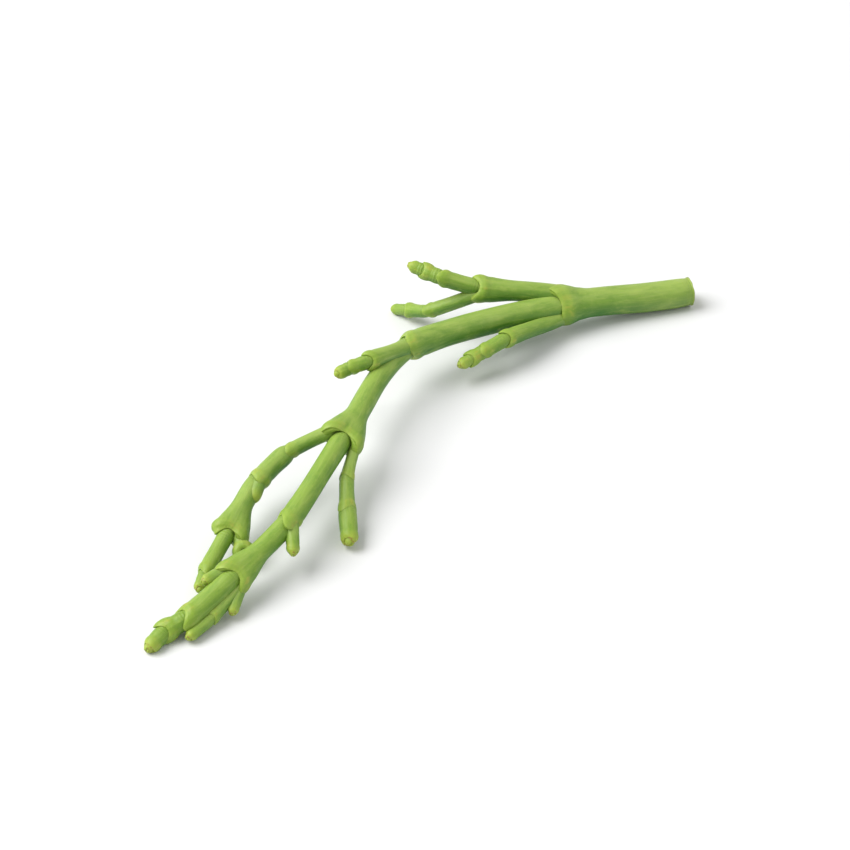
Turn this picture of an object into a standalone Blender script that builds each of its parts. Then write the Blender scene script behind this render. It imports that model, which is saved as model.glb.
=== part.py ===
# A sprig of marsh samphire, cut near its base and lying on a table.
#
# The stem is a row of fleshy joints. Each joint swells out of the cup at the end of the one
# before it, and ends in a cup of its own, whose rim is drawn out into two blunt leaf lobes on
# opposite sides. Side branches and shoots grow out of the cups, inside a lobe. The last joint of
# each row is a closed bud. The sprig touches the table at its cut end, at the tip of its stem and
# at the tip of one side branch, and its stem arches over the table between them.
#
# Growth is given as real sizes: millimetres, and degrees for bearing (turned about +Z from +X)
# and climb (above the table). The stem's cut end points to +X.

import bpy
import bmesh
from collections import namedtuple
from math import ceil, cos, pi, radians, sin
from mathutils import Vector

MM = 0.001

# Where the middle of the cut end lies
CUT_END = Vector((59.70, -15.91, 2.36))
CUT_END_CLIMB = -7

# How a joint is shaped, as shares of its radius where no unit is given
SUNK = 0.9               # the root of a joint reaches this far into the cup below it
SHOULDER = 1.5           # length over which it swells out of the cup
SHOULDER_LIMIT = 0.35    # and never more than this share of the joint
FLARE = 3.2              # length over which it widens into its own cup
FLARE_LIMIT = 0.55       # and never more than this share of the joint
CUP_WIDTH = 1.12         # the cup's radius away from the lobes
CUP_DEPTH = 0.35
CUP_FLOOR = 0.72         # width of the cup's floor over its mouth
WALL = 0.28              # the cup's wall, and never thinner than WALL_LEAST
WALL_LEAST = 0.3         # mm
BEND_IN = 0.40           # how far a joint sets out in the direction of the one before
BEND_OUT = 0.25          # how far it ends in the direction of the next
STATION = 5.0            # mm between the rings of a long joint
QUARTER = 90             # degrees between one pair of lobes and the next

# How a joint swells out of the cup below: (share of the shoulder, share of the swelling)
SWELL = ((0.0, 0.0), (0.4, 0.72), (1.0, 1.0))
# How a bud closes: (shares of the flare left to the tip, of the radius, of the lobes' pull)
BUD = ((0.45, 0.98, 0.05), (0.15, 0.72, 0.6), (0.02, 0.34, 0.5), (0.08, 0.0, 0.0))

# Side branches sit in pockets of the stem
GAP = 0.3             # mm of air round the root of a side branch
AXIL_DEPTH = 0.35     # how far below the cup's rim a shoot starts
AXIL_TURN = 0.35      # how far it sets out towards its lobe

# Sides of a ring on the stem, on a branch and on a small shoot
STEM_SIDES = 12
BRANCH_SIDES = 10
SHOOT_SIDES = 8

BLOCK = 200.0         # mm, larger than the whole sprig

# spread: width across the lobes over the thickness. lobe: how far the lobes reach past the rim,
# over the thickness. neck: width in the cup below, over the thickness. roll: the side on which
# the lobes stand, turned about the stem from straight up; left out, it is a quarter turn on.
Joint = namedtuple("Joint", "length bearing climb thick spread lobe neck roll",
                   defaults=(1.30, 0.30, 0.90, None))

MAIN_STEM = [
    Joint(23.1, 151, 5, 5.0, spread=1.34, lobe=0.20, roll=39),
    Joint(30.4, 165, 6, 4.4, spread=1.20, lobe=0.35, neck=0.94, roll=-48),
    Joint(26.2, 201, 1, 3.6, spread=1.85, lobe=0.40, neck=0.94, roll=64),
    Joint(19.1, 200, -5, 3.3, spread=1.25, lobe=0.70, roll=-38),
    Joint(12.3, 185, -10, 3.2, spread=1.60, lobe=0.50, roll=55),
    Joint(9.3, 180, -12, 3.4, spread=1.20, lobe=0.55, roll=-75),
    Joint(3.6, 164, -14, 3.0, spread=1.40, lobe=0.40, roll=52),
    Joint(4.3, 186, -8, 2.6, roll=-30),
]

FAR_BRANCH_1 = [
    Joint(15.1, 140, 12, 3.5, spread=1.30, neck=0.7, roll=37),
    Joint(6.4, 133, 18, 2.8),
    Joint(6.0, 110, 10, 2.4),
]
FAR_BRANCH_1_SHOOT = [
    Joint(9.4, 131, -24, 2.4, neck=0.8, roll=-57),
    Joint(4.7, 93, -23, 2.2),
    Joint(4.2, 89, -23, 2.0),
]
NEAR_BRANCH_1 = [
    Joint(14.7, 176, 8, 2.7, spread=1.20, roll=44),
    Joint(4.7, 169, -7, 2.5, spread=1.15),
    Joint(2.4, 168, -9, 2.4, spread=1.15),
    Joint(2.7, 170, -8, 2.1),
]
BRANCH_2 = [
    Joint(10.8, 182, 14, 2.75, roll=42),
    Joint(3.3, 161, -3, 2.0),
    Joint(2.7, 162, -8, 1.7),
]
LEFT_BRANCH_3 = [
    Joint(7.7, 162, -9, 2.3, roll=-45),
    Joint(7.3, 183, -11, 3.1, spread=1.5, roll=140),
    Joint(10.2, 200, -12, 3.1, spread=2.0, lobe=0.4, roll=60),
    Joint(7.7, 200, -14, 2.5),
    Joint(3.5, 209, -11, 2.0),
]
LEFT_BRANCH_3_BUD = [Joint(4.4, 203, -22, 2.2)]
LEFT_BRANCH_3_SHOOT = [
    Joint(3.0, 240, -14, 2.4, spread=1.9, lobe=0.4, roll=90),
    Joint(1.6, 240, -20, 1.7),
]
RIGHT_BRANCH_3 = [
    Joint(6.2, 213, -16, 1.8, spread=1.20, roll=2),
    Joint(5.3, 224, -24, 2.3, spread=1.20),
    Joint(6.4, 228, -16, 2.8),
]
STEM_SHOOT_4 = [Joint(6.0, 226, -26, 2.1, roll=6)]
STEM_SHOOT_5_LEFT = [Joint(4.9, 169, -4, 2.0)]
STEM_SHOOT_5_RIGHT = [Joint(5.6, 206, -24, 1.8)]
STEM_SHOOT_5_UNDER = [
    Joint(7.4, 188, -15, 2.0, spread=1.20, roll=58),
    Joint(5.1, 182, -7, 1.9),
]

GREEN = (0.27, 0.46, 0.09, 1.0)
PALE_GREEN = (0.36, 0.55, 0.12, 1.0)
ROUGHNESS = 0.45


def direction(joint):
    """Unit vector along a joint."""
    level = cos(radians(joint.climb))
    return Vector((level * cos(radians(joint.bearing)), level * sin(radians(joint.bearing)),
                   sin(radians(joint.climb))))


def turned_from_up(along, roll):
    """Unit vector square to a stem, turned about it from straight up by roll degrees."""
    up = (Vector((0, 0, 1)) - along * along.z).normalized()
    return up * cos(radians(roll)) + along.cross(up) * sin(radians(roll))


def wall_of(joint):
    """Thickness of a cup's wall."""
    return max(WALL * joint.thick / 2, WALL_LEAST)


class Row:
    """A row of joints: where each starts, which way it runs and where its lobes stand."""

    def __init__(self, joints, start, before):
        self.joints = joints
        self.ends = [start]
        self.rolls = []
        for joint in joints:
            self.ends.append(self.ends[-1] + direction(joint) * joint.length)
            turned = self.rolls[-1] + QUARTER if self.rolls else 0
            self.rolls.append(turned if joint.roll is None else joint.roll)
        ways = [before] + [direction(joint) for joint in joints] + [direction(joints[-1])]
        self.leave = [own.lerp(last, BEND_IN).normalized() for last, own in zip(ways, ways[1:-1])]
        self.reach = [own.lerp(after, BEND_OUT).normalized() for own, after in zip(ways[1:], ways[2:])]

    def point(self, i, s):
        """Point on joint i's axis, s mm from its start, and the direction there."""
        length = self.joints[i].length
        a, b, ta, tb = self.ends[i], self.ends[i + 1], self.leave[i], self.reach[i]
        if s <= 0:
            return a + ta * s, ta
        if s >= length:
            return b + tb * (s - length), tb
        t = s / length
        here = (a * (2 * t ** 3 - 3 * t ** 2 + 1) + b * (3 * t ** 2 - 2 * t ** 3)
                + (ta * (t ** 3 - 2 * t ** 2 + t) + tb * (t ** 3 - t ** 2)) * length)
        slope = ((b - a) * (6 * t - 6 * t ** 2)
                 + (ta * (3 * t ** 2 - 4 * t + 1) + tb * (3 * t ** 2 - 2 * t)) * length)
        return here, slope.normalized()

    def axil(self, i, side, shoot):
        """Where a shoot starts, against the inside of a lobe of joint i's cup, and its way out."""
        joint = self.joints[i]
        way = self.reach[i]
        lobe = turned_from_up(way, self.rolls[i]) * side
        out = (joint.spread * joint.thick - shoot.neck * shoot.thick) / 2 - wall_of(joint)
        start = self.ends[i + 1] + lobe * out - way * AXIL_DEPTH * joint.thick / 2
        return start, way.lerp(lobe, AXIL_TURN).normalized()


def profile(joint, cut, closed, grow):
    """(distance along the joint, radius, share of the lobes' pull) from its root to its end.

    grow makes the outside of an open joint that much larger, for the pocket it stands in.
    """
    radius = joint.thick / 2
    sunk = SUNK * radius + grow
    shoulder = min(SHOULDER * radius, SHOULDER_LIMIT * joint.length)
    flare = min(FLARE * radius, FLARE_LIMIT * joint.length)
    neck = joint.neck * radius
    if cut:
        rings = [(0.0, 0.0, 0.0), (0.0, radius, 0.0), (shoulder, radius, 0.0)]
    else:
        rings = [(-sunk, 0.0, 0.0), (-sunk, 0.9 * neck + grow, 0.0)]
        rings += [(s * shoulder, neck + swell * (radius - neck) + grow, 0.0) for s, swell in SWELL]
    plain = joint.length - flare - shoulder
    steps = ceil(plain / STATION)
    rings += [(shoulder + plain * k / steps, radius + grow, 0.0) for k in range(1, steps + 1)]
    if closed:
        return rings + [(joint.length - s * flare, share * radius, pull) for s, share, pull in BUD]
    rim = CUP_WIDTH * radius
    wall = wall_of(joint)
    floor = joint.length - CUP_DEPTH * radius
    rings += [(joint.length - 0.5 * flare, radius + 0.3 * (rim - radius) + grow, 0.3),
              (joint.length - 0.15 * radius, rim + grow, 0.9),
              (joint.length, rim - 0.3 * wall + grow, 1.0),
              (joint.length - 0.1 * radius, rim - wall, 0.9),
              (floor, CUP_FLOOR * (rim - wall), 0.3),
              (floor, 0.0, 0.0)]
    return rings


def joint_mesh(row, i, sides, closed, cut=False, grow=0.0):
    """One joint as a closed mesh: its profile spun round, drawn out into lobes and laid on its axis."""
    joint = row.joints[i]
    rings = profile(joint, cut, closed, grow)
    bm = bmesh.new()
    pull = bm.verts.layers.float.new("pull")
    verts = []
    for s, radius, share in rings:
        vert = bm.verts.new((radius, 0.0, s))
        vert[pull] = share
        verts.append(vert)
    edges = [bm.edges.new(pair) for pair in zip(verts, verts[1:])]
    bmesh.ops.spin(bm, geom=verts + edges, cent=(0, 0, 0), axis=(0, 0, 1), angle=2 * pi,
                   steps=sides, use_merge=True)
    bmesh.ops.remove_doubles(bm, verts=bm.verts, dist=1e-4)
    out_most = (joint.spread * joint.thick - CUP_WIDTH * joint.thick) / 2
    for vert in bm.verts:
        s, across = vert.co.z, Vector((vert.co.x, vert.co.y))
        radius = across.length
        towards = (across.x / radius) ** 2 if radius > 1e-6 else 0.0
        share = vert[pull] * towards
        if radius > 1e-6:
            across *= (radius + out_most * share) / radius
        s += joint.lobe * joint.thick * share * abs(vert[pull])
        middle, way = row.point(i, s)
        lobe_way = turned_from_up(way, row.rolls[i])
        vert.co = middle + lobe_way * across.x + way.cross(lobe_way) * across.y
    if bm.calc_volume(signed=True) < 0:
        bmesh.ops.reverse_faces(bm, faces=bm.faces)
    return bm


def add_object(name, bm, collection):
    """A bmesh in millimetres as an object in metres."""
    bmesh.ops.scale(bm, vec=(MM, MM, MM), verts=bm.verts)
    mesh = bpy.data.meshes.new(name)
    bm.to_mesh(mesh)
    bm.free()
    obj = bpy.data.objects.new(name, mesh)
    collection.objects.link(obj)
    return obj


def keep_outer_surface(mesh):
    """Drops loose scraps and sealed hollows: all but the largest connected piece of a mesh."""
    bm = bmesh.new()
    bm.from_mesh(mesh)
    waiting = set(bm.faces)
    pieces = []
    while waiting:
        piece, front = set(), [waiting.pop()]
        while front:
            face = front.pop()
            piece.add(face)
            for edge in face.edges:
                for other in edge.link_faces:
                    if other in waiting:
                        waiting.remove(other)
                        front.append(other)
        pieces.append(piece)
    pieces.sort(key=lambda piece: sum(face.calc_area() for face in piece))
    scraps = [face for piece in pieces[:-1] for face in piece]
    bmesh.ops.delete(bm, geom=scraps, context="FACES")
    bm.to_mesh(mesh)
    bm.free()


def boolean(obj, operation, collection):
    """Joins or cuts with all the objects of a collection, applies it and removes them."""
    modifier = obj.modifiers.new(operation, "BOOLEAN")
    modifier.operation = operation
    modifier.operand_type = "COLLECTION"
    modifier.collection = collection
    modifier.solver = "MANIFOLD"
    depsgraph = bpy.context.evaluated_depsgraph_get()
    mesh = bpy.data.meshes.new_from_object(obj.evaluated_get(depsgraph))
    obj.modifiers.clear()
    keep_outer_surface(mesh)
    obj.data = mesh
    for other in list(collection.objects):
        bpy.data.objects.remove(other)
    bpy.data.collections.remove(collection)


def work_collection(name):
    """A collection for pieces that are joined to an object or cut from it."""
    collection = bpy.data.collections.new(name)
    bpy.context.scene.collection.children.link(collection)
    return collection


def branch(name, rows, sides, material, parts, cut=False):
    """A branch as one solid: the joints of its rows, of which the first row is its own stem."""
    own = rows[0]
    solid = add_object(name, joint_mesh(own, 0, sides, len(own.joints) == 1, cut), parts)
    solid.data.materials.append(material)
    joined = work_collection(name + "_joints")
    for row in rows:
        for i in range(1 if row is own else 0, len(row.joints)):
            closed = i == len(row.joints) - 1
            bm = joint_mesh(row, i, sides if row is own else SHOOT_SIDES, closed)
            add_object(f"{name}_{len(joined.objects)}", bm, joined)
    boolean(solid, "UNION", joined)
    return solid


def principled(name, colour, roughness):
    """A plain material of the part's colour."""
    material = bpy.data.materials.new(name)
    material.use_nodes = True
    shader = material.node_tree.nodes["Principled BSDF"]
    shader.inputs["Base Color"].default_value = colour
    shader.inputs["Roughness"].default_value = roughness
    shader.inputs["Metallic"].default_value = 0.0
    return material


def side_row(joints, parent, i, side):
    """A row that grows out of the axil of a lobe of joint i of its parent."""
    start, way = parent.axil(i, side, joints[0])
    return Row(joints, start, way)


def table_cutter(collection):
    """A block under the table's surface, which flattens what the sprig rests on."""
    bm = bmesh.new()
    bmesh.ops.create_cube(bm, size=BLOCK)
    bmesh.ops.translate(bm, vec=(0, 0, -BLOCK / 2), verts=bm.verts)
    return add_object("table", bm, collection)


def main():
    for obj in list(bpy.data.objects):
        bpy.data.objects.remove(obj)
    parts = bpy.data.collections.new("samphire_sprig")
    bpy.context.scene.collection.children.link(parts)

    stem = Row(MAIN_STEM, CUT_END, direction(MAIN_STEM[0]._replace(climb=CUT_END_CLIMB)))
    far_1 = side_row(FAR_BRANCH_1, stem, 0, 1)
    far_1_shoot = side_row(FAR_BRANCH_1_SHOOT, far_1, 0, -1)
    near_1 = side_row(NEAR_BRANCH_1, stem, 0, -1)
    branch_2 = side_row(BRANCH_2, stem, 1, 1)
    left_3 = side_row(LEFT_BRANCH_3, stem, 2, 1)
    left_3_bud = side_row(LEFT_BRANCH_3_BUD, left_3, 1, -1)
    left_3_shoot = side_row(LEFT_BRANCH_3_SHOOT, left_3, 2, -1)
    right_3 = side_row(RIGHT_BRANCH_3, stem, 2, -1)
    stem_rows = [
        stem,
        side_row(STEM_SHOOT_4, stem, 3, 1),
        side_row(STEM_SHOOT_5_LEFT, stem, 4, 1),
        side_row(STEM_SHOOT_5_RIGHT, stem, 4, -1),
        side_row(STEM_SHOOT_5_UNDER, stem, 4, -1),
    ]
    branch_rows = {
        "side_branch_1_far": [far_1, far_1_shoot],
        "side_branch_1_near": [near_1],
        "side_branch_2": [branch_2],
        "side_branch_3_left": [left_3, left_3_bud, left_3_shoot],
        "side_branch_3_right": [right_3],
    }

    stem_green = principled("stem green", GREEN, ROUGHNESS)
    main_stem = branch("main_stem", stem_rows, STEM_SIDES, stem_green, parts, cut=True)
    built = [main_stem]
    for name, rows in branch_rows.items():
        branch_green = principled(name + " green", PALE_GREEN, ROUGHNESS)
        built.append(branch(name, rows, BRANCH_SIDES, branch_green, parts))

    pockets = work_collection("pockets")
    for name, rows in branch_rows.items():
        root = joint_mesh(rows[0], 0, BRANCH_SIDES, False, grow=GAP)
        add_object(name + "_pocket", root, pockets)
    boolean(main_stem, "DIFFERENCE", pockets)

    for obj in built:
        under = work_collection("under_the_table")
        table_cutter(under)
        boolean(obj, "DIFFERENCE", under)


main()
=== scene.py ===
# %% [markdown]
# # A sprig of marsh samphire
#
# Samphire is a salt-marsh plant whose stem looks like a string of fleshy beads. Each joint swells
# out of a shallow cup and ends in a cup of its own, whose rim is drawn out into two blunt leaves.
# It could be sculpted by hand, or put together from tubes. Here it grows from tables of joints,
# because then every cup, leaf and bud follows the same few rules.
#
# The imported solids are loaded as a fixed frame, and a fine skin is grown over each of them.

# %% Load the frame
import bpy
import bmesh
from collections import namedtuple
from math import cos, exp, pi, radians, sin, atan2
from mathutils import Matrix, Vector, noise


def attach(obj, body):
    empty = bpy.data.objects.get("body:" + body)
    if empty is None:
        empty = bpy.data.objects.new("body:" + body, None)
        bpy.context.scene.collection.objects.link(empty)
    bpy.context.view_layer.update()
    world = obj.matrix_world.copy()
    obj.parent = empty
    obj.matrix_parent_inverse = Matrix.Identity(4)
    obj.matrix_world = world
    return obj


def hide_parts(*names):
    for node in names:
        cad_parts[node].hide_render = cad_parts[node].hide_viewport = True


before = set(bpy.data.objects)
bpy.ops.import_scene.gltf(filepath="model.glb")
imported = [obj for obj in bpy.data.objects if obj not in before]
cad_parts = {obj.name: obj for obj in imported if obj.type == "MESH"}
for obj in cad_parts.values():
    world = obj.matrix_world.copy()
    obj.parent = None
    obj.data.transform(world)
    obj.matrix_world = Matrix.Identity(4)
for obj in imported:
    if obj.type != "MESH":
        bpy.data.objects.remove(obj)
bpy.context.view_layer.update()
MM = 0.001
print("nodes", sorted(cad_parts))

# %% [markdown]
# ## Camera
#
# The photograph looks down on the sprig at 38 degrees, with its cut end away to the right. A long
# lens keeps the perspective as flat as it is there. The camera is placed from the two angles and
# the point of the surface that the middle of the picture shows, so each number can be changed by
# itself.

# %% Camera
AZIMUTH = radians(-47)
ELEVATION = radians(38)
DISTANCE = 0.3748
LENS = 100
SENSOR = 36
NEAREST = 0.01
AIM = Vector((0.00454, -0.00619, 0.0))

back = Vector((sin(AZIMUTH) * cos(ELEVATION), -cos(AZIMUTH) * cos(ELEVATION), sin(ELEVATION)))
camera = bpy.data.objects.new("camera", bpy.data.cameras.new("camera"))
camera.data.lens = LENS
camera.data.sensor_width = SENSOR
camera.data.clip_start = NEAREST
camera.location = AIM + back * DISTANCE
camera.rotation_euler = back.to_track_quat("Z", "Y").to_euler()
bpy.context.scene.collection.objects.link(camera)
bpy.context.scene.camera = camera
print("camera at", [round(v, 3) for v in camera.location])

# %% [markdown]
# ## Growth
#
# A row is a stem or a shoot: joints one after another. Each has its length, bearing, climb and
# thickness, in millimetres and degrees. The rows run along the same paths as the solids, so the
# skin lies where they do. The other numbers shape the soft parts of a joint, which are here and
# there fuller than in the plain solids, as are a few of the last joints:
#
# - spread and lobe say how far across the two leaves of its cup stand, and how far they reach
#   forward, over the thickness;
# - neck says how narrow it starts, over the thickness, and roll on which side its leaves stand,
#   in degrees from straight up; left out, roll is a quarter turn on from the joint before;
# - flare is the length over which it widens into the cup, over its radius;
# - front moves the whole rim forward, over the thickness, and lean makes one leaf reach further
#   than the other, as a share of lobe;
# - hidden is how many millimetres of its start the cup below covers, worked out further on.

# %% Growth of the main stem
Joint = namedtuple(
    "Joint", "length bearing climb thick spread lobe neck roll flare front lean hidden",
    defaults=(1.30, 0.30, 0.90, None, 3.8, 0.0, 0.0, 0.0))
CUT_END = Vector((59.70, -15.91, 2.36))
CUT_END_CLIMB = -7

MAIN_STEM = [
    Joint(23.1, 151, 5, 5.0, spread=1.34, lobe=0.20, roll=39, flare=2.0, front=0.20, lean=0.7),
    Joint(30.4, 165, 6, 4.4, spread=1.20, lobe=0.22, neck=0.94, roll=-48, lean=0.6),
    Joint(26.2, 201, 1, 3.6, spread=1.85, lobe=0.40, neck=0.94, roll=64),
    Joint(19.1, 200, -5, 3.3, spread=1.25, lobe=0.70, roll=-38),
    Joint(12.3, 185, -10, 3.2, spread=1.60, lobe=0.50, roll=55),
    Joint(9.3, 180, -12, 3.4, spread=1.20, lobe=0.55, roll=-75),
    Joint(3.6, 164, -14, 3.0, spread=1.40, lobe=0.40, roll=52),
    Joint(4.3, 186, -8, 2.6, roll=-30),
]
print("stem", round(sum(joint.length for joint in MAIN_STEM), 1), "mm along its joints")

# %% Growth of the branches and shoots
FAR_BRANCH_1 = [
    Joint(15.1, 140, 12, 3.5, spread=1.30, neck=0.7, roll=37),
    Joint(6.4, 133, 18, 2.8),
    Joint(2.9, 110, 10, 2.6),
    Joint(3.1, 110, 10, 2.3),
]
FAR_BRANCH_1_SHOOT = [
    Joint(9.4, 131, -24, 2.4, neck=0.8, roll=-57),
    Joint(4.7, 93, -23, 2.2),
    Joint(4.2, 89, -23, 2.0),
]
NEAR_BRANCH_1 = [
    Joint(14.7, 176, 8, 2.7, spread=1.20, roll=44),
    Joint(4.7, 169, -7, 2.5, spread=1.34, lobe=0.40),
    Joint(2.4, 168, -9, 2.4, spread=1.30, lobe=0.40),
    Joint(2.7, 170, -8, 2.1),
]
BRANCH_2 = [
    Joint(10.8, 182, 14, 2.75, neck=1.04, roll=42),
    Joint(3.3, 161, -3, 2.3),
    Joint(2.7, 162, -8, 2.2),
]
LEFT_BRANCH_3 = [
    Joint(7.7, 162, -9, 2.3, spread=1.60, lobe=0.45, roll=-45),
    Joint(7.3, 183, -11, 3.1, spread=1.5, neck=0.68, roll=140),
    Joint(10.2, 200, -12, 3.1, spread=2.0, lobe=0.4, roll=60),
    Joint(7.7, 200, -14, 2.5),
    Joint(3.5, 209, -11, 2.0),
]
LEFT_BRANCH_3_BUD = [Joint(4.4, 203, -22, 2.2)]
LEFT_BRANCH_3_SHOOT = [
    Joint(3.0, 240, -14, 2.4, spread=1.9, lobe=0.4, roll=90),
    Joint(1.6, 240, -20, 1.7),
]
RIGHT_BRANCH_3 = [
    Joint(6.2, 213, -16, 1.8, spread=1.45, lobe=0.40, roll=-50),
    Joint(5.3, 224, -24, 2.3, spread=1.40, lobe=0.40),
    Joint(6.4, 228, -16, 2.8),
]
STEM_SHOOT_4 = [Joint(6.0, 226, -26, 2.1, roll=6)]
STEM_SHOOT_5_LEFT = [Joint(4.9, 169, -4, 2.0)]
STEM_SHOOT_5_RIGHT = [Joint(5.6, 206, -24, 1.8)]
STEM_SHOOT_5_UNDER = [
    Joint(7.4, 188, -15, 2.0, spread=1.20, roll=58),
    Joint(5.1, 182, -7, 1.9),
]
print("longest branch", round(sum(joint.length for joint in LEFT_BRANCH_3), 1), "mm")

# %% [markdown]
# ## Directions and buds
#
# A joint's leaves stand on two opposite sides of it, so a place on the skin needs two things: the
# way along the joint, and a turn about it that starts from straight up. On the plant a row ends
# in two small leaves with a bud between them. It could be a piece of its own, but it grows as a
# joint does, so the last joint is shortened and a small blunt one is put in its crown.

# %% Directions and buds
CROWN_SPREAD = 1.12
CROWN_LOBE = 0.22
BUD_OUT = 0.26       # how much shorter the last joint gets, over its thickness
BUD_LENGTH = 0.34
BUD_WIDTH = 0.66
BUD_NECK = 0.92


def direction(joint):
    """Unit vector along a joint."""
    level = cos(radians(joint.climb))
    return Vector((level * cos(radians(joint.bearing)), level * sin(radians(joint.bearing)),
                   sin(radians(joint.climb))))


def turned_from_up(along, roll):
    """Unit vector square to a stem, turned about it from straight up by roll degrees."""
    up = (Vector((0, 0, 1)) - along * along.z).normalized()
    return up * cos(radians(roll)) + along.cross(up) * sin(radians(roll))


def with_bud(joints):
    """The joints of a row, whose last one ends in two small leaves with a bud between them."""
    last = joints[-1]
    crown = last._replace(length=last.length - BUD_OUT * last.thick, spread=CROWN_SPREAD,
                          lobe=CROWN_LOBE)
    bud = last._replace(length=BUD_LENGTH * last.thick, thick=BUD_WIDTH * last.thick,
                        neck=BUD_NECK, roll=None)
    return joints[:-1] + [crown, bud]


print("the stem sets out", [round(v, 2) for v in direction(MAIN_STEM[0])])

# %% [markdown]
# ## The path of a row
#
# Each joint's middle line is a smooth curve that leaves in nearly the direction of the joint
# before it and ends on the way to the next, so a row bends like a plant and not like a chain.
# A Blender curve could do this, but a formula also gives the direction at every point, which the
# skin needs, and it can be asked beyond either end of the joint.

# %% Rows of joints
BEND_IN = 0.40
BEND_OUT = 0.25
QUARTER = 90


class Row:
    """A row of joints: where each starts, which way it runs and where its leaves stand."""

    def __init__(self, joints, start, before, cut=False, crowned=True):
        joints = with_bud(joints) if crowned else list(joints)
        for i, before_it in enumerate(joints[:-1]):
            joints[i + 1] = joints[i + 1]._replace(hidden=before_it.front * before_it.thick)
        self.joints = joints
        self.cut = cut
        self.held = {}
        self.ends = [start]
        self.rolls = []
        for joint in joints:
            self.ends.append(self.ends[-1] + direction(joint) * joint.length)
            turned = self.rolls[-1] + QUARTER if self.rolls else 0
            self.rolls.append(turned if joint.roll is None else joint.roll)
        ways = [before] + [direction(joint) for joint in joints] + [direction(joints[-1])]
        self.leave = [own.lerp(last, BEND_IN).normalized()
                      for last, own in zip(ways, ways[1:-1])]
        self.reach = [own.lerp(after, BEND_OUT).normalized()
                      for own, after in zip(ways[1:], ways[2:])]

    def point(self, i, s):
        """Point on joint i's middle line, s mm from its start, and the direction there."""
        length = self.joints[i].length
        a, b, ta, tb = self.ends[i], self.ends[i + 1], self.leave[i], self.reach[i]
        if s <= 0:
            return a + ta * s, ta
        if s >= length:
            return b + tb * (s - length), tb
        t = s / length
        here = (a * (2 * t ** 3 - 3 * t ** 2 + 1) + b * (3 * t ** 2 - 2 * t ** 3)
                + (ta * (t ** 3 - 2 * t ** 2 + t) + tb * (t ** 3 - t ** 2)) * length)
        slope = ((b - a) * (6 * t - 6 * t ** 2)
                 + (ta * (3 * t ** 2 - 4 * t + 1) + tb * (3 * t ** 2 - 2 * t)) * length)
        return here, slope.normalized()


stem = Row(MAIN_STEM, CUT_END, direction(MAIN_STEM[0]._replace(climb=CUT_END_CLIMB)), cut=True)
print("the stem's tip is at", [round(v, 1) for v in stem.ends[-1]], "mm")

# %% [markdown]
# ## Where shoots start
#
# A shoot grows out of an axil, the corner between a leaf and the joint above it. It starts just
# inside the leaf, a little below the rim, and bends away from the stem. The leaf is pushed out by
# the shoot that it holds, so each row keeps how far out a shoot reaches at the rim of each cup.

# %% Side rows
AXIL_DEPTH = 0.35
AXIL_TURN = 0.35
CAD_WALL = 0.28         # the cup's wall in the solids, over the radius
CAD_WALL_LEAST = 0.3    # mm
HOLD_STEP = 0.1         # mm between the points that are tried on the shoot's middle line
HOLD_STEPS = 80
HOLD_MOST = 1.12        # and no leaf is pushed out further than this, over its spread


def side_row(joints, parent, i, side, crowned=True):
    """A row that grows out of the axil of a leaf of joint i of its parent."""
    joint, shoot = parent.joints[i], joints[0]
    way = parent.reach[i]
    leaf = turned_from_up(way, parent.rolls[i]) * side
    wall = max(CAD_WALL * joint.thick / 2, CAD_WALL_LEAST)
    out = (joint.spread * joint.thick - shoot.neck * shoot.thick) / 2 - wall
    start = parent.ends[i + 1] + leaf * out - way * AXIL_DEPTH * joint.thick / 2
    row = Row(joints, start, way.lerp(leaf, AXIL_TURN).normalized(), crowned=crowned)
    forward = joint.front + joint.lobe * (1 + joint.lean * side)
    rim = parent.ends[i + 1] + way * joint.thick * forward
    for k in range(HOLD_STEPS):
        middle, _ = row.point(0, k * HOLD_STEP)
        if (middle - rim).dot(way) > 0:
            break
    reach = (middle - rim).dot(leaf) + shoot.thick * (1 + shoot.neck) / 4
    reach = min(reach, HOLD_MOST * joint.spread * joint.thick / 2)
    parent.held[i, side] = max(reach, parent.held.get((i, side), 0.0))
    return row


far_1 = side_row(FAR_BRANCH_1, stem, 0, 1)
near_1 = side_row(NEAR_BRANCH_1, stem, 0, -1)
branch_2 = side_row(BRANCH_2, stem, 1, 1)
left_3 = side_row(LEFT_BRANCH_3, stem, 2, 1)
right_3 = side_row(RIGHT_BRANCH_3, stem, 2, -1)
ROWS = {
    "main_stem": [
        stem,
        side_row(STEM_SHOOT_4, stem, 3, 1),
        side_row(STEM_SHOOT_5_LEFT, stem, 4, 1),
        side_row(STEM_SHOOT_5_RIGHT, stem, 4, -1),
        side_row(STEM_SHOOT_5_UNDER, stem, 4, -1),
    ],
    "side_branch_1_far": [far_1, side_row(FAR_BRANCH_1_SHOOT, far_1, 0, -1)],
    "side_branch_1_near": [near_1],
    "side_branch_2": [branch_2],
    "side_branch_3_left": [
        left_3,
        side_row(LEFT_BRANCH_3_BUD, left_3, 1, -1, crowned=False),
        side_row(LEFT_BRANCH_3_SHOOT, left_3, 2, -1),
    ],
    "side_branch_3_right": [right_3],
}

# %% [markdown]
# ## How thick a joint is
#
# On the plant a row has one unbroken skin. It runs up a joint, over the thin lip of its cup, down
# into the crevice and up the next joint. So the skin is one profile spun round, and only then is
# each point given its place, by how far it is along its joint and on which side of the stem. That
# keeps the leaves, the lips that hug the next joint and the clefts of the buds in a few formulas.
#
# The first of them is the joint without its cup. It stands narrow in the cup below, swells within
# a millimetre or two, draws in a little at the waist, and a closed one ends in a dome.

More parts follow.
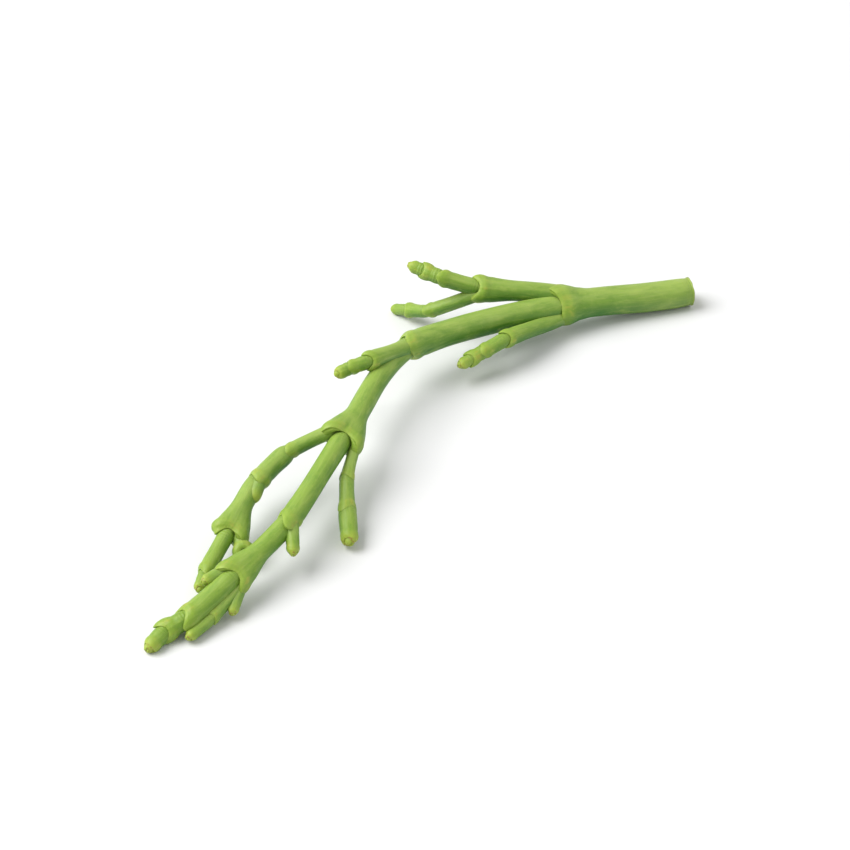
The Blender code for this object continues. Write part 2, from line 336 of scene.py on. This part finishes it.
# %% Swelling of a joint
SHOULDER = 1.2            # length of the swelling, over the radius
SHOULDER_LIMIT = 0.35     # and never more than this share of the joint
SHOULDER_ROUND = 0.6
ROOT_TAPER = 0.06
WAIST = 0.02
DOME = 1.25               # length of a bud's dome, over the radius
DOME_ROUND = 0.85
TAPER_LEAST = 0.3


def smooth(t):
    """Eases from 0 to 1."""
    t = min(max(t, 0.0), 1.0)
    return t * t * (3 - 2 * t)


def swelling(joint, s):
    """Radius of a joint away from its leaves, s mm from its start, before the cup widens."""
    radius = joint.thick / 2
    shoulder = min(SHOULDER * radius, SHOULDER_LIMIT * joint.length)
    s -= joint.hidden
    if s <= 0:
        return joint.neck * radius * (1 + ROOT_TAPER * max(s, -radius) / radius)
    if s < shoulder:
        swollen = sin(pi / 2 * s / shoulder) ** SHOULDER_ROUND
        return radius * (joint.neck + (1 - joint.neck) * swollen)
    t = (s - shoulder) / (joint.length - joint.hidden - shoulder)
    return radius * (1 - WAIST * sin(pi * min(t, 1.0)))


def taper(joint, s):
    """Share of its full radius that a closed tip still has, s mm from the joint's start."""
    dome = DOME * joint.thick / 2
    t = (s - joint.length) / dome + 1
    return cos(pi / 2 * min(max(t, 0.0), 1.0)) ** DOME_ROUND


def next_radius(row, i, s):
    """Radius of the joint that grows out of joint i's cup, at s mm from joint i's start."""
    joint, beyond = row.joints[i + 1], s - row.joints[i].length
    closed = i + 2 == len(row.joints)
    return swelling(joint, beyond) * (max(taper(joint, beyond), TAPER_LEAST) if closed else 1)


print("first joint", [round(swelling(MAIN_STEM[0], s), 2) for s in (0, 2, 10, 20)], "mm radius")

# %% [markdown]
# ## The outer side of a cup
#
# Near its end a joint widens into the cup, most of all towards its two leaves, and the leaves
# reach forward. The lip then curls in until it hugs the next joint, less where a leaf stands free
# or a shoot pushes it out. A low ridge with a groove behind it runs round the cup, as the photo
# shows on the thick joints. All of it is soft and round, so each form is a smooth bump or a power
# of the distance, and nothing has to be joined by hand.

# %% Outer side of the cup
FLARE_LIMIT = 0.60
WIDENING = 1.8           # how late the cup widens
CUP_WIDTH = 1.10
LAST_WIDTH = 0.96        # the same for the crown round a bud
LEAF_BREADTH = 2.3       # the higher, the narrower the leaf is that stands out
LOBE_BREADTH = 2.6       # and the narrower its tip that reaches forward
CURL = 0.85              # length over which the lip curls in, over the radius
LAST_CURL = 1.0
CURL_ROUND = 0.985
LEAF_FREE = 0.08
LAST_FREE = 0.05
HELD_CURL = 0.35
HELD_SLOPE = 1.6         # how fast a shoot's room ends at its sides
HELD_FROM = 0.3
HUG = 0.02               # mm between a lip and the joint that it hugs
LIP = 0.11               # mm, and thinner on a thin joint
LIP_SHARE = 0.035
LIP_LEAST = 0.06
COLLAR = 0.05
RIDGE_AT, RIDGE_WIDTH = 0.45, 0.28
GROOVE_AT, GROOVE_WIDTH, GROOVE_DEPTH = 1.05, 0.20, 0.8


def bump_at(x, middle, width):
    """A smooth bump of height 1."""
    return exp(-((x - middle) / width) ** 2)


def lip_of(joint):
    """Thickness of the thin edge of a cup, in mm."""
    return max(LIP_LEAST, min(LIP, LIP_SHARE * joint.thick))


def flare_of(joint):
    """Length over which a joint widens into its cup, in mm."""
    return min(joint.flare * joint.thick / 2, FLARE_LIMIT * joint.length)


def held_by_shoot(row, i, leaf_side):
    """1 where a side shoot fills the space inside a leaf of joint i, else 0."""
    return max(smooth(HELD_SLOPE * leaf_side * side - HELD_FROM) if (i, side) in row.held else 0.0
               for side in (1, -1))


def curled_in(row, i, to_rim, s, radius, leaf_side):
    """Radius of the skin of joint i once its lip has curled in, to_rim mm before the rim."""
    joint = row.joints[i]
    crown = i + 2 == len(row.joints)
    rounding = joint.thick / 2 * (LAST_CURL if crown else CURL)
    u = min(max(1 - to_rim / rounding, 0.0), 1.0)
    curl = 1 - (1 - CURL_ROUND * u * u) ** 0.5
    snug = next_radius(row, i, s) + HUG + lip_of(joint)
    if snug < radius:
        free = LAST_FREE if crown else LEAF_FREE
        curl *= ((1 - (1 - HELD_CURL) * held_by_shoot(row, i, leaf_side))
                 * (1 - free * abs(leaf_side) ** LEAF_BREADTH))
    return radius + (snug - radius) * curl


def outside(row, i, s0, leaf_side):
    """Distance along and radius of the outer skin. leaf_side runs from 1 to -1 round the stem."""
    joint = row.joints[i]
    half = joint.thick / 2
    to_rim = joint.length - s0
    side = 1 if leaf_side > 0 else -1
    share = max(1 - to_rim / flare_of(joint), 0.0) ** WIDENING
    leaf = abs(leaf_side) ** LEAF_BREADTH
    lobe = joint.lobe * (1 + joint.lean * side) * abs(leaf_side) ** LOBE_BREADTH
    s = s0 + joint.thick * share ** 2 * (joint.front + lobe)
    wide = LAST_WIDTH if i + 2 == len(row.joints) else CUP_WIDTH
    radius = swelling(joint, s0) + half * share * (wide - 1 + (joint.spread - CUP_WIDTH) * leaf)
    pushed_out = row.held.get((i, side), 0.0) + HUG + lip_of(joint)
    if pushed_out > radius:
        radius += (pushed_out - radius) * share * leaf
    if i + 1 < len(row.joints):
        radius = curled_in(row, i, to_rim, s, radius, leaf_side)
    groove = GROOVE_DEPTH * bump_at(to_rim / half, GROOVE_AT, GROOVE_WIDTH)
    collar = bump_at(to_rim / half, RIDGE_AT, RIDGE_WIDTH) - groove
    return s, radius + COLLAR * half * collar


rim_side, rim_leaf = [outside(stem, 0, MAIN_STEM[0].length, side)[1] for side in (0.0, 1.0)]
print("first rim", round(rim_side, 2), "mm radius at the side,", round(rim_leaf, 2), "at a leaf")

# %% [markdown]
# ## The inner side of a cup, the cut and the buds
#
# The cup's inner side hugs the joint that grows out of it, so only a hairline shows. Its leaves
# are fleshy. Where a side shoot fills the corner between a leaf and the stem, the lip stays thin
# and the floor of the crevice is plump and stands high, as fleshy axils are, so no dark pit is
# left there. A bud's tip is a small dome with a cleft, and the cut end is nearly flat. The kinds
# of ring say which of these a point belongs to.

# %% Place of each point of the skin
CUT, BODY, EDGE, WALL, TIP, ROOT = range(6)
LEAF_FLESH = 0.20
CREVICE = 0.30           # depth of the crevice below the rim, over the radius
PLUMP = 0.12
WALL_STEEP = 2.5         # how long the floor of a filled axil stays high
WALL_LIFT = 0.4
EDGE_MOST = 0.3          # mm by which the lip's edge is rounded forward
SUNK = 0.9               # how far a shoot's root goes down, over the radius
ROOT_WIDTH = 0.85
CUT_DOME = 0.10
CLEFT, CLEFT_WIDTH = 0.26, 0.16
CLEFT_SLOPE, CLEFT_FROM = 1.6, 0.4


def inside(row, i, s, radius, leaf_side):
    """Radius of the cup's inner side, from what it holds."""
    joint = row.joints[i]
    thin = radius - lip_of(joint)
    fleshy = thin - LEAF_FLESH * joint.thick / 2 * abs(leaf_side) ** 2
    snug = next_radius(row, i, s) + HUG
    held = held_by_shoot(row, i, leaf_side)
    return min(max(snug, fleshy), thin) * (1 - held) + thin * held


def domed_tip(joint, t, leaf_side):
    """A point of a bud's dome, with the cleft between its two last leaves."""
    half = joint.thick / 2
    s0 = joint.length - DOME * half
    radius = swelling(joint, s0) * cos(t * pi / 2) ** DOME_ROUND
    across = radius * leaf_side / half
    deep = smooth(CLEFT_SLOPE * t - CLEFT_FROM)
    cleft = CLEFT * half * bump_at(across, 0.0, CLEFT_WIDTH) * deep
    return s0 + DOME * half * sin(t * pi / 2) - cleft, radius


def crevice_wall(row, i, t, s, inner, leaf_side):
    """A point of the cup's inner side, from its lip (t = 0) to the root of the next joint."""
    half = row.joints[i].thick / 2
    floor = row.joints[i].length - CREVICE * half
    root = swelling(row.joints[i + 1], -CREVICE * half) + HUG / 2
    held = held_by_shoot(row, i, leaf_side)
    depth = t ** (1 + WALL_STEEP * max(held, WALL_LIFT if row.held.get((i, 1)) else 0))
    return s + (floor - s) * depth + PLUMP * half * held * sin(pi * t), inner + (root - inner) * t


def place(row, i, kind, t, leaf_side):
    """Distance along joint i and radius of a point of the skin."""
    joint = row.joints[i]
    half = joint.thick / 2
    if kind == CUT:
        return CUT_DOME * half * (1 - t ** 4), half * t
    if kind == ROOT:
        return -SUNK * half, ROOT_WIDTH * joint.neck * half * t
    if kind == BODY:
        return outside(row, i, t * joint.length, leaf_side)
    if kind == TIP:
        return domed_tip(joint, t, leaf_side)
    s, radius = outside(row, i, joint.length, leaf_side)
    inner = inside(row, i, s, radius, leaf_side)
    if kind == WALL:
        return crevice_wall(row, i, t, s, inner, leaf_side)
    middle, thickness = (radius + inner) / 2, (radius - inner) / 2
    return s + min(thickness, EDGE_MOST) * sin(pi * t), middle + thickness * cos(pi * t)


print("lip of the first cup", round(lip_of(MAIN_STEM[0]), 3), "mm thick")

# %% [markdown]
# ## Profile and spin
#
# The profile is a list of rings, close together where the shape turns quickly and further apart
# on a joint's middle. bmesh.ops.spin turns it into a tube with the right topology, its poles are
# merged, and then every point moves to its place. Spinning a finished outline would give round
# cups only; here the tube is round at first, and the leaves are drawn out of it afterwards.

# %% Rings of a row
FINE, COARSE = 0.22, 0.7         # mm between the rings
FINE_ZONE = 2.0                  # mm near either end of a joint that get fine rings
CUT_START = 0.12                 # mm from the cut to the first ring of the skin
STOP_SHORT = 0.02
CUT_RINGS, ROOT_RINGS, TIP_RINGS, EDGE_RINGS, WALL_RINGS = 12, 3, 22, 7, 5


def rings_of(row):
    """The rings of a row's skin from its first pole to its last: (joint, kind, share)."""
    if row.cut:
        rings = [(0, CUT, k / CUT_RINGS) for k in range(CUT_RINGS + 1)]
    else:
        rings = [(0, ROOT, k / ROOT_RINGS) for k in range(ROOT_RINGS + 1)]
    for i, joint in enumerate(row.joints):
        closed = i + 1 == len(row.joints)
        stop = joint.length - DOME * joint.thick / 2 if closed else joint.length
        below = row.joints[max(i - 1, 0)]
        s = CUT_START if i == 0 and row.cut else -CREVICE * below.thick / 2
        while s < stop - STOP_SHORT:
            rings.append((i, BODY, s / joint.length))
            s += FINE if min(abs(s), joint.length - s) < FINE_ZONE else COARSE
        if closed:
            rings += [(i, TIP, k / TIP_RINGS) for k in range(TIP_RINGS + 1)]
        else:
            rings.append((i, BODY, 1.0))
            rings += [(i, EDGE, k / EDGE_RINGS) for k in range(1, EDGE_RINGS + 1)]
            rings += [(i, WALL, k / WALL_RINGS) for k in range(1, WALL_RINGS + 1)]
    return rings


print("rings of the stem", len(rings_of(stem)))

# %% Spin
MERGE = 1e-4


def spun(row, sides):
    """The rings of a row spun into a closed tube; each vertex knows its joint, kind and share."""
    bm = bmesh.new()
    joint_of = bm.verts.layers.int.new("joint")
    kind_of = bm.verts.layers.int.new("kind")
    share_of = bm.verts.layers.float.new("share")
    rings = rings_of(row)
    verts = []
    for z, (i, kind, share) in enumerate(rings):
        vert = bm.verts.new((0.0 if z in (0, len(rings) - 1) else 1.0, 0.0, z))
        vert[joint_of], vert[kind_of], vert[share_of] = i, kind, share
        verts.append(vert)
    edges = [bm.edges.new(pair) for pair in zip(verts, verts[1:])]
    bmesh.ops.spin(bm, geom=verts + edges, cent=(0, 0, 0), axis=(0, 0, 1), angle=2 * pi,
                   steps=sides, use_merge=True)
    bmesh.ops.remove_doubles(bm, verts=bm.verts, dist=MERGE)
    return bm


trial = spun(ROWS["main_stem"][1], 8)
print("a shoot spun with 8 sides has", len(trial.verts), "points")
trial.free()

# %% [markdown]
# ## Small unevenness
#
# Living tissue is never a clean solid of revolution. The skin gets slow swellings, a few long
# ridges and, at the cut, a torn edge. A Displace modifier would do, but the noise has to follow
# the stem where it bends, so it is read at the straightened position, in millimetres, with an
# offset for each row and joint. The same script always grows the same sprig.

# %% Unevenness
LUMPS, LUMP_ACROSS, LUMP_ALONG = 0.035, 0.35, 0.16
RIDGES, RIDGE_ACROSS, RIDGE_ALONG = 0.008, 1.9, 0.10
ROW_OFFSET = Vector((7.3, 3.1, 5.7))
JOINT_OFFSET = 4.0
TORN = 0.16              # mm by which the cut's edge is uneven
TORN_ROUND = 2.2
TORN_ZONE = 1.0          # mm of the stem next to the cut that follow its edge


def drawn_out_noise(straight, across, along, offset):
    """Noise at a straightened position, longer along the stem than across it."""
    stretched = Vector((straight.x * across, straight.y * across, straight.z * along))
    return noise.noise(stretched + offset)


def unevenness(straight, offset):
    """Relative change of radius at a straightened position, in mm."""
    slow = drawn_out_noise(straight, LUMP_ACROSS, LUMP_ALONG, offset)
    ridge = drawn_out_noise(straight, RIDGE_ACROSS, RIDGE_ALONG, offset)
    return LUMPS * slow + RIDGES * ridge


def torn_edge(kind, share, s, angle, seed):
    """How far a point at the cut end stands forward or back, in mm."""
    torn = noise.noise(Vector((TORN_ROUND * cos(angle), TORN_ROUND * sin(angle), seed)))
    return TORN * torn * (share ** 3 if kind == CUT else smooth(1 - s / TORN_ZONE))


print("unevenness 10 mm up the stem", round(unevenness(Vector((2.5, 0, 10)), ROW_OFFSET), 4))

# %% [markdown]
# ## The skin of a row
#
# Now every point of the spun tube moves to its place. Points also carry layers, which the
# material reads later: how far a point is from the start and the end of its joint, on which side
# of a leaf it stands, how young it is, and whether it is at a bud's tip, on the cut or deep in a
# crevice. One more holds the straightened position, so that streaks run along the stem even where
# it bends. Painting by hand would do this too, but would be lost with each change of shape.

# %% Skin of a row
SETTLED = 20.0           # mm, for a point that is nowhere near the start or the end of a joint
BUD_ZONE = 1.5
LAYERS = ("base", "end", "leaf", "young", "bud", "cut", "nook")


def carried(row, run, i, kind, share, s, leaf_side):
    """What a point of the skin tells the material, in the order of LAYERS."""
    base = s if kind == BODY else (SETTLED if kind == TIP else 0.0)
    if kind == BODY and i + 1 < len(row.joints):
        end = (1 - share) * row.joints[i].length
    else:
        end = 0.0 if kind in (EDGE, WALL) else SETTLED
    young = min(1.0, (run[i] + s) / run[-1])
    bud = smooth(1 - (run[-1] - run[i] - s) / (BUD_ZONE * row.joints[-1].thick))
    return base, end, leaf_side, young, bud, float(kind == CUT), share if kind == WALL else 0.0


def skin_of(row, sides, seed):
    """The finished skin of a row in millimetres, with its layers for the material."""
    bm = spun(row, sides)
    joint_of = bm.verts.layers.int["joint"]
    kind_of = bm.verts.layers.int["kind"]
    share_of = bm.verts.layers.float["share"]
    straight_of = bm.verts.layers.float_vector.new("straight")
    layers = [bm.verts.layers.float.new(name) for name in LAYERS]
    offset = ROW_OFFSET * (seed + 1)
    run = [0.0]
    for joint in row.joints:
        run.append(run[-1] + joint.length)
    for vert in bm.verts:
        i, kind, share = vert[joint_of], vert[kind_of], vert[share_of]
        angle = atan2(vert.co.y, vert.co.x)
        leaf_side = cos(angle - radians(row.rolls[i]))
        s, radius = place(row, i, kind, share, leaf_side)
        straight = Vector((radius * cos(angle), radius * sin(angle), run[i] + s))
        if kind != ROOT:
            radius *= 1 + unevenness(straight, offset + Vector((0, 0, JOINT_OFFSET * i)))
        if kind == CUT or (kind == BODY and row.cut and i == 0 and s < TORN_ZONE):
            s += torn_edge(kind, share, s, angle, seed)
        middle, way = row.point(i, s)
        vert.co = middle + turned_from_up(way, angle * 180 / pi) * radius
        vert[straight_of] = straight + offset
        for layer, value in zip(layers, carried(row, run, i, kind, share, s, leaf_side)):
            vert[layer] = value
    if bm.calc_volume(signed=True) < 0:
        bmesh.ops.reverse_faces(bm, faces=bm.faces)
    return bm


trial = skin_of(ROWS["main_stem"][1], 8, 0)
print("that shoot holds", round(trial.calc_volume(), 1), "mm3")
trial.free()

# %% [markdown]
# ## One piece for each node
#
# A node's rows are gathered in one mesh. A shoot's root stays inside the stem's flesh, so its
# skin simply comes out of the axil. What would sink into the table is pressed flat on it, as soft
# tissue is. The piece then takes the node's place: it rides on the same body and the plain solid
# is no longer shown.

# %% Skins
SIDES, SMALL_SIDES = 44, 32
THICK_ROW = 2.2          # mm; a thinner row gets fewer sides
SEED_STEP = 10


def skin_piece(name, rows, material):
    """One mesh object in metres with the skins of all the rows of a node."""
    whole = bmesh.new()
    for seed, row in enumerate(rows):
        sides = SIDES if row.joints[0].thick > THICK_ROW else SMALL_SIDES
        bm = skin_of(row, sides, seed + SEED_STEP * len(bpy.data.meshes))
        part = bpy.data.meshes.new("part")
        bm.to_mesh(part)
        bm.free()
        whole.from_mesh(part)
        bpy.data.meshes.remove(part)
    for vert in whole.verts:
        vert.co.z = max(vert.co.z, 0.0)
    bmesh.ops.scale(whole, vec=(MM, MM, MM), verts=whole.verts)
    mesh = bpy.data.meshes.new(name + "_skin")
    whole.to_mesh(mesh)
    whole.free()
    mesh.shade_smooth()
    mesh.materials.append(material)
    piece = bpy.data.objects.new(name + "_skin", mesh)
    bpy.context.scene.collection.objects.link(piece)
    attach(piece, "root")
    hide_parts(name)
    print(piece.name, "faces", len(mesh.polygons))

# %% [markdown]
# ## Shader sums
#
# A material's maths reads best as ordinary expressions. This small class wraps a socket, so that
# 1 - mask or noise * 0.3 adds its Math node; any other node is asked for by its type.

# %% Shader expressions
class Value:
    """A socket of a node tree that can be added, multiplied and so on."""

    def __init__(self, tree, socket):
        self.tree = tree
        self.socket = socket

    def maths(self, operation, *values):
        node = self.tree.nodes.new("ShaderNodeMath")
        node.operation = operation
        for slot, value in zip(node.inputs, values):
            if isinstance(value, Value):
                self.tree.links.new(value.socket, slot)
            else:
                slot.default_value = value
        return Value(self.tree, node.outputs[0])

    def __add__(self, other):
        return self.maths("ADD", self, other)

    def __radd__(self, other):
        return self.maths("ADD", other, self)

    def __sub__(self, other):
        return self.maths("SUBTRACT", self, other)

    def __rsub__(self, other):
        return self.maths("SUBTRACT", other, self)

    def __mul__(self, other):
        return self.maths("MULTIPLY", self, other)

    def __rmul__(self, other):
        return self.maths("MULTIPLY", other, self)

    def __abs__(self):
        return self.maths("ABSOLUTE", self)

    def wave(self):
        """Runs up and down between -1 and 1, once for each 2 pi."""
        return self.maths("SINE", self)

    def between(self, low, high):
        """0 below low and 1 above high, eased."""
        node = self.tree.nodes.new("ShaderNodeMapRange")
        node.interpolation_type = "SMOOTHSTEP"
        self.tree.links.new(self.socket, node.inputs["Value"])
        node.inputs["From Min"].default_value = low
        node.inputs["From Max"].default_value = high
        return Value(self.tree, node.outputs["Result"])


class Shader:
    """A material's node tree, with one method for any node."""

    def __init__(self, name):
        self.material = bpy.data.materials.new(name)
        self.material.use_nodes = True
        self.tree = self.material.node_tree
        self.surface = self.tree.nodes["Principled BSDF"]

    def node(self, kind, settings=None, output=0, **sockets):
        """Adds a node with its settings, then its sockets' values or links; returns an output."""
        node = self.tree.nodes.new("ShaderNode" + kind)
        for key, value in (settings or {}).items():
            setattr(node, key, value)
        for key, value in sockets.items():
            self.feed(node.inputs[key.replace("_", " ")], value)
        return Value(self.tree, node.outputs[output])

    def feed(self, socket, value):
        if isinstance(value, Value):
            self.tree.links.new(value.socket, socket)
        else:
            socket.default_value = value

    def layer(self, name):
        """A number that the mesh carries at each point."""
        return self.node("Attribute", {"attribute_name": name}, output=2)

    def blend(self, share, first, second):
        """Mixes two colours, each a value or a socket."""
        node = self.tree.nodes.new("ShaderNodeMix")
        node.data_type = "RGBA"
        self.feed(node.inputs[0], share)
        for socket, colour in ((node.inputs[6], first), (node.inputs[7], second)):
            self.feed(socket, colour)
        return Value(self.tree, node.outputs[2])

# %% [markdown]
# ## Fresh samphire
#
# The skin is a waxy green over juicy, slightly see-through flesh. Its colour goes to a yellow
# green towards the tips. Light and shade are painted into it as well: a lighter colour and a
# painted highlight on the parts that face up, a deeper green on the underside as painted shade,
# and darker green as painted shade in the creases and crevices of the cups. Fine pale streaks
# run along it, a yellow-green band lies behind each rim, the thin lips of the cups are pale, the
# buds' tips dry out to straw and brown, and the cut shows the pale flesh. A photograph of skin
# could be wrapped round it, but it would stretch at each cup, so the tints are laid over each
# other like glazes, each through a mask of its own.

# %% Tints
def colour(red, green, blue):
    """A colour from its 0 to 255 screen values."""
    return tuple(((v / 255 + 0.055) / 1.055) ** 2.4 for v in (red, green, blue)) + (1.0,)


# painted highlight: the pale colour laid on skin that faces up
PAINTED_TOP_LIGHT = colour(160, 182, 90)
PALE_PATCH, DEEP_PATCH = colour(150, 178, 84), colour(96, 142, 50)
PALE_BLOTCH, DEEP_BLOTCH = colour(168, 190, 88), colour(86, 132, 40)
PALE_STREAK, DEEP_STREAK = colour(172, 194, 100), colour(84, 130, 40)
PALE_HAIR = colour(180, 198, 108)
PALE_SPECK, DEEP_SPECK = colour(184, 198, 88), colour(84, 122, 40)
NECK = colour(128, 158, 56)
OLD_END = colour(172, 192, 96)
LEAF_SEAM = colour(178, 198, 100)
RIM_BAND = colour(158, 184, 58)
STAIN = colour(176, 174, 70)
# painted shade: darker green for the crease just before each rim
CREASE_SHADE = colour(102, 138, 44)
LIP_EDGE = colour(172, 190, 86)
# painted shade: darker green for the crevice inside each cup
NOOK_SHADE = colour(98, 134, 40)
BUD_TIP = colour(172, 188, 68)
STRAW = colour(142, 110, 54)
CUT_FLESH = colour(150, 170, 76)
print("sunlit green", [round(v, 2) for v in PAINTED_TOP_LIGHT[:3]])

# %% Skin material
WRINKLE_PITCH = 13.0      # turns of the fine wrinkles at a joint's start, in radians per mm
BUMP_HEIGHT = 0.0002
FLESH = {
    "Subsurface Weight": 0.18,
    "Subsurface Radius": (0.8, 1.0, 0.25),
    "Subsurface Scale": 0.0010,
    "Specular IOR Level": 0.42,
}


def fresh_skin(name, lit_top, deep, warm):
    """The skin's material, from its lit colour on top and its deep green below, which paint
    light and shade by which way the skin faces, and from its young yellow green.
    """
    sh = Shader(name)
    straight = sh.node("Attribute", {"attribute_name": "straight"}, output=1)

    def pattern(across, along, scale, detail, roughness=0.6):
        """Noise on the straightened skin; a small number draws it out that way."""
        position = sh.node("Mapping", {"vector_type": "POINT"}, Vector=straight,
                           Scale=(across, across, along))
        return sh.node("TexNoise", Vector=position, Scale=scale, Detail=detail,
                       Roughness=roughness)

    patches = pattern(1.0, 0.4, scale=0.26, detail=3.0, roughness=0.55)
    blotches = pattern(1.0, 0.4, scale=0.85, detail=4.0)
    streaks = pattern(1.0, 0.10, scale=1.0, detail=3.0)
    hairs = pattern(3.0, 0.25, scale=1.0, detail=2.0)
    grain = pattern(1.0, 1.0, scale=3.5, detail=3.0)
    facing_up = sh.node("SeparateXYZ", output=2, Vector=sh.node("NewGeometry", output=1))
    base, end, leaf, young, bud, cut, nook = [sh.layer(layer) for layer in LAYERS]

    rim = 1 - end.between(0.02, 0.30)
    crease = end.between(0.25, 0.5) * (1 - end.between(0.5, 0.9))
    seam = (1 - abs(leaf).between(0.02, 0.12)) * (1 - end.between(1.0, 4.5))
    wrinkles = (base * WRINKLE_PITCH + 3.0 * streaks).wave()
    near_base = 1 - base.between(0.3, 2.2)
    stain = end.between(0.1, 0.4) * (1 - end.between(0.9, 1.6)) * blotches.between(0.50, 0.70)
    upward = facing_up + 0.6 * (blotches - 0.5)
    youth = (young - 0.3 + 0.8 * (patches - 0.5)).between(0.0, 0.9)
    dry = (bud * 1.1 + rim * 0.25 + 2.2 * (grain - 0.5)).between(1.15, 1.45)

    # painted light and shade: skin that faces up takes the lit top colour, skin that faces down
    # the deeper green as painted shade
    skin = sh.blend(1 - upward.between(-0.38, 0.86), lit_top, deep)
    for mask, tint in (
            # painted highlight on the skin that faces up
            (upward.between(0.45, 1.05) * (0.66 - 0.24 * young), PAINTED_TOP_LIGHT),
            (youth * 0.55, warm),
            (patches.between(0.50, 0.70) * 0.35, PALE_PATCH),
            ((1 - patches).between(0.52, 0.72) * 0.35, DEEP_PATCH),
            ((1 - blotches).between(0.50, 0.72) * 0.34, DEEP_BLOTCH),
            (blotches.between(0.52, 0.72) * 0.34, PALE_BLOTCH),
            (streaks.between(0.48, 0.74) * 0.28, PALE_STREAK),
            ((1 - streaks).between(0.50, 0.74) * 0.20, DEEP_STREAK),
            (hairs.between(0.50, 0.74) * 0.18, PALE_HAIR),
            (grain.between(0.58, 0.72) * 0.22, PALE_SPECK),
            ((1 - grain).between(0.60, 0.74) * 0.18, DEEP_SPECK),
            (near_base * 0.35, NECK),
            ((1 - young.between(0.02, 0.14)) * 0.30, OLD_END),
            (seam * 0.18, LEAF_SEAM),
            ((1 - end.between(0.2, 1.9)) * 0.38, RIM_BAND),
            (stain * 0.65, STAIN),
            # painted shade in the crease before the rim
            (crease * 0.15, CREASE_SHADE),
            (rim * (0.8 * (blotches + grain) - 0.60), LIP_EDGE),
            # painted shade, deeper the further down the crevice wall
            (nook * 0.6, NOOK_SHADE),
            (bud.between(0.1, 0.95) * 0.62, BUD_TIP),
            (dry * 0.75, STRAW),
            (cut * 0.85, CUT_FLESH),
    ):
        skin = sh.blend(mask, skin, tint)

    height = 0.45 * streaks + 0.30 * hairs + 0.30 * grain + 0.9 * blotches
    height = height + 0.22 * wrinkles * near_base + 0.15 * seam - 0.20 * crease
    sh.feed(sh.surface.inputs["Base Color"], skin)
    sh.feed(sh.surface.inputs["Roughness"], 0.38 + 0.22 * grain + 0.15 * dry)
    sh.feed(sh.surface.inputs["Normal"],
            sh.node("Bump", Height=height, Strength=0.5, Distance=BUMP_HEIGHT))
    for socket, value in FLESH.items():
        sh.surface.inputs[socket].default_value = value
    return sh.material


# lit_top is the painted lit green and deep the painted shaded green of the underside
stem_skin = fresh_skin("stem_skin", lit_top=colour(126, 164, 54), deep=colour(54, 114, 34),
                       warm=colour(126, 160, 36))
branch_skin = fresh_skin("branch_skin", lit_top=colour(126, 163, 52), deep=colour(58, 115, 34),
                         warm=colour(134, 166, 40))
print("nodes in a skin's material", len(stem_skin.node_tree.nodes))

# %% [markdown]
# ## Grow the sprig
#
# On the plant the stem is the oldest part, and its green is a little deeper than that of the
# young shoots. So the stem and its small shoots take one finish, and each side branch the other.
# They grow in the order of the table above, because each row's unevenness depends on it.

# %% Grow every piece
for node_name, rows in ROWS.items():
    if node_name == "main_stem":
        skin_piece(node_name, rows, stem_skin)
    else:
        skin_piece(node_name, rows, branch_skin)

# %% [markdown]
# ## The floor
#
# The sprig lies on a plain white surface. A plane would do; this one has a very faint change of
# tone, so that it doesn't look like a hole in the picture.

# %% Floor
FLOOR_HALF = 3.0

bm = bmesh.new()
bmesh.ops.create_grid(bm, x_segments=2, y_segments=2, size=FLOOR_HALF)
floor_mesh = bpy.data.meshes.new("floor")
bm.to_mesh(floor_mesh)
bm.free()
floor = bpy.data.objects.new("floor", floor_mesh)
bpy.context.scene.collection.objects.link(floor)
white = Shader("white_board")
soft_tone = white.node("TexNoise", Vector=white.node("TexCoord", output=3), Scale=40.0,
                       Detail=2.0)
white.feed(white.surface.inputs["Base Color"],
           white.blend(soft_tone, (0.80, 0.80, 0.80, 1.0), (0.84, 0.84, 0.84, 1.0)))
white.surface.inputs["Roughness"].default_value = 0.9
white.surface.inputs["Specular IOR Level"].default_value = 0.1
floor_mesh.materials.append(white.material)
print("floor", 2 * FLOOR_HALF, "m wide")

# %% [markdown]
# ## The light
#
# Soft light falls from above and behind, which leaves pale tops, deeper flanks and only a soft
# shadow where the stem comes near the surface. Two large lamps do it: one behind to the left, and
# a weak one in front. The white surroundings fill what they leave dark.

# %% Light
SURROUNDINGS = 0.50


def soft_light(name, position, size, power):
    """A square area light that looks at the sprig."""
    lamp = bpy.data.lights.new(name, "AREA")
    lamp.size = size
    lamp.energy = power
    holder = bpy.data.objects.new(name, lamp)
    holder.location = position
    holder.rotation_euler = Vector(position).to_track_quat("Z", "Y").to_euler()
    bpy.context.scene.collection.objects.link(holder)
    print(name, power, "W")


soft_light("key", position=(-0.42, 0.48, 0.78), size=0.8, power=12)
soft_light("fill", position=(0.5, -0.6, 0.6), size=0.9, power=1.5)
world = bpy.data.worlds.new("studio")
world.use_nodes = True
world.node_tree.nodes["Background"].inputs["Color"].default_value = (1.0, 1.0, 1.0, 1.0)
world.node_tree.nodes["Background"].inputs["Strength"].default_value = SURROUNDINGS
bpy.context.scene.world = world
bpy.context.scene.view_settings.view_transform = "Standard"
